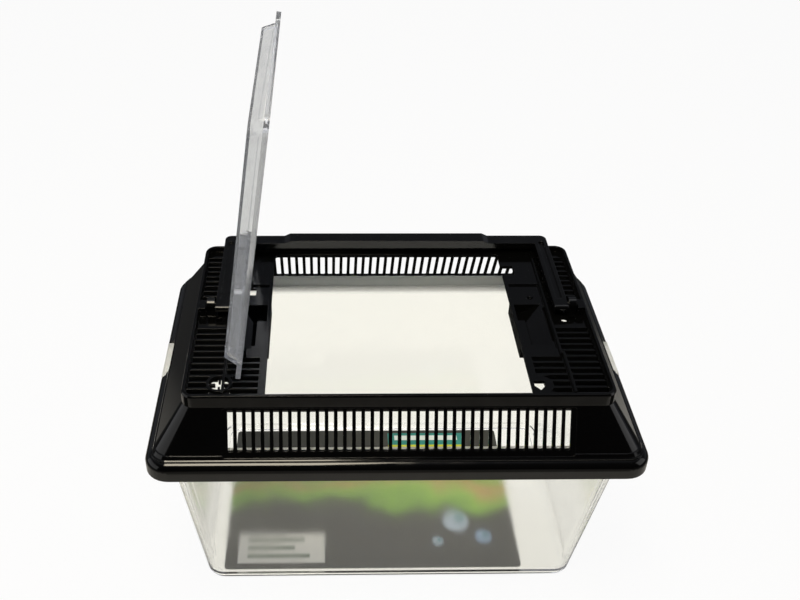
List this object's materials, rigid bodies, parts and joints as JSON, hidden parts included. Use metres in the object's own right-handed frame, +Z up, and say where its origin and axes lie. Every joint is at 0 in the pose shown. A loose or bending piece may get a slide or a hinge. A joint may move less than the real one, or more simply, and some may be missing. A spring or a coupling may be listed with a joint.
{
  "type": "pet keeper",
  "caption": "Small clear plastic pet keeper: tapered tank, black vented drop-on lid, hinged clear feeding hatch and folding carrying handle.",
  "frame": {"origin": "middle of the face that the tank stands on", "axes": "+Z up, +X along the lid away from the hatch's hinge, +Y towards the side where the folded handle lies"},
  "size_m": [0.2318, 0.154, 0.2615],
  "materials": {
    "clear_tank": "clear moulded polystyrene, polished",
    "black_lid": "glossy black moulding",
    "clear_hatch": "clear moulded polystyrene, polished",
    "black_handle": "satin black moulding",
    "printed_leaflet": "printed coated card"
  },
  "bodies": {
    "tank": {"tank": "clear_tank", "leaflet": "printed_leaflet"},
    "lid": {"lid": "black_lid"},
    "hatch": {"hatch": "clear_hatch"},
    "handle": {"handle": "black_handle"}
  },
  "joints": [
    {"name": "lid_lift", "type": "slide", "parent": "tank", "child": "lid", "axis": [0, 0, 1], "range_m": [0, 0.04]},
    {"name": "hatch_hinge", "type": "hinge", "parent": "lid", "child": "hatch", "pos_m": [-0.07322, 0, 0.1276], "axis": [0, 1, 0], "range_deg": [0, 82]},
    {"name": "handle_pivot", "type": "hinge", "parent": "lid", "child": "handle", "pos_m": [0, 0.0052, 0.1309], "axis": [1, 0, 0], "range_deg": [0, 8]}
  ]
}
